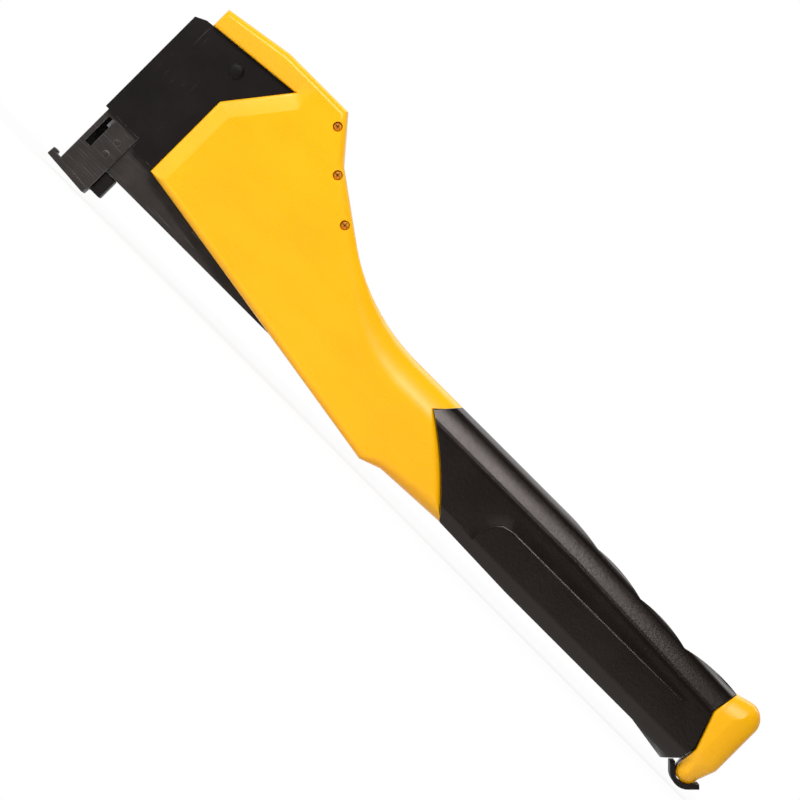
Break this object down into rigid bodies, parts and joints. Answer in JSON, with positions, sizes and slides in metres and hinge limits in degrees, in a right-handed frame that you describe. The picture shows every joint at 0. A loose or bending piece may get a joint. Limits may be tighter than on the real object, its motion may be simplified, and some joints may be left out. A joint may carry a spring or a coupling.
{
  "type": "hammer tacker",
  "caption": "Hammer tacker: yellow shell body with a black steel head, swinging staple magazine, rubber grip and a pull-out pusher behind a latched butt cap.",
  "frame": {"origin": "centre of the striking foot's underside, in the tool's mid plane", "axes": "+X from the head to the butt along the handle, +Y across the tool to the right shell, +Z away from the struck surface"},
  "size_m": [0.3451, 0.028, 0.0928],
  "materials": {
    "yellow_shell": "satin moulded yellow, light sheen on the edges",
    "grip_rubber": "soft black rubber, fine moulded texture",
    "black_steel": "black powder coat, slightly worn on edges",
    "dark_steel": "dark grey phosphate steel",
    "black_plastic": "matt black nylon",
    "zinc_steel": "bright zinc plate",
    "yellow_zinc": "yellow passivated zinc, dull gold",
    "hard_steel": "ground spring steel"
  },
  "bodies": {
    "tacker_body": {"body_shell_left": "yellow_shell", "body_shell_right": "yellow_shell", "body_screws": "yellow_zinc", "head_frame": "black_steel", "frame_dowels": "zinc_steel", "driver_block": "dark_steel", "driver_blade": "hard_steel", "blade_pin": "zinc_steel", "head_rivet": "black_steel", "bumper_pad": "grip_rubber", "spring_seat": "zinc_steel", "return_spring": "hard_steel", "grip_sleeve": "grip_rubber"},
    "magazine": {"magazine_channel": "dark_steel", "pivot_pins": "zinc_steel", "nose_guide": "dark_steel", "nose_rivets": "dark_steel", "striking_foot": "dark_steel", "heel_block": "black_steel", "staple_rail": "zinc_steel", "staple_strip": "zinc_steel", "lift_bridge": "dark_steel", "bridge_rivets": "dark_steel", "guide_post": "zinc_steel"},
    "pusher": {"pusher_rod": "zinc_steel", "feed_spring": "hard_steel", "tail_plug": "black_plastic", "end_cap": "yellow_shell", "cap_screw": "zinc_steel", "latch_pin": "zinc_steel"},
    "follower": {"follower": "black_plastic"},
    "latch": {"tail_latch": "black_steel"}
  },
  "joints": [
    {"name": "magazine_swing", "type": "hinge", "parent": "tacker_body", "child": "magazine", "pos_m": [0.308, 0, 0.017], "axis": [0, 1, 0], "range_deg": [0, 4.5], "stiffness_Nm_per_rad": 60, "springref_deg": -2.86, "deforming": ["return_spring"]},
    {"name": "rod_pull", "type": "slide", "parent": "magazine", "child": "pusher", "axis": [1, 0, 0], "range_m": [0, 0.18]},
    {"name": "follower_feed", "type": "slide", "parent": "pusher", "child": "follower", "axis": [1, 0, 0], "range_m": [0, 0.1], "stiffness_N_per_m": 80, "springref_m": -0.06, "deforming": ["feed_spring"]},
    {"name": "latch_swing", "type": "hinge", "parent": "pusher", "child": "latch", "pos_m": [0.3273, 0, 0.0066], "axis": [0, -1, 0], "range_deg": [0, 25], "stiffness_Nm_per_rad": 0.3, "springref_deg": -11.46}
  ]
}
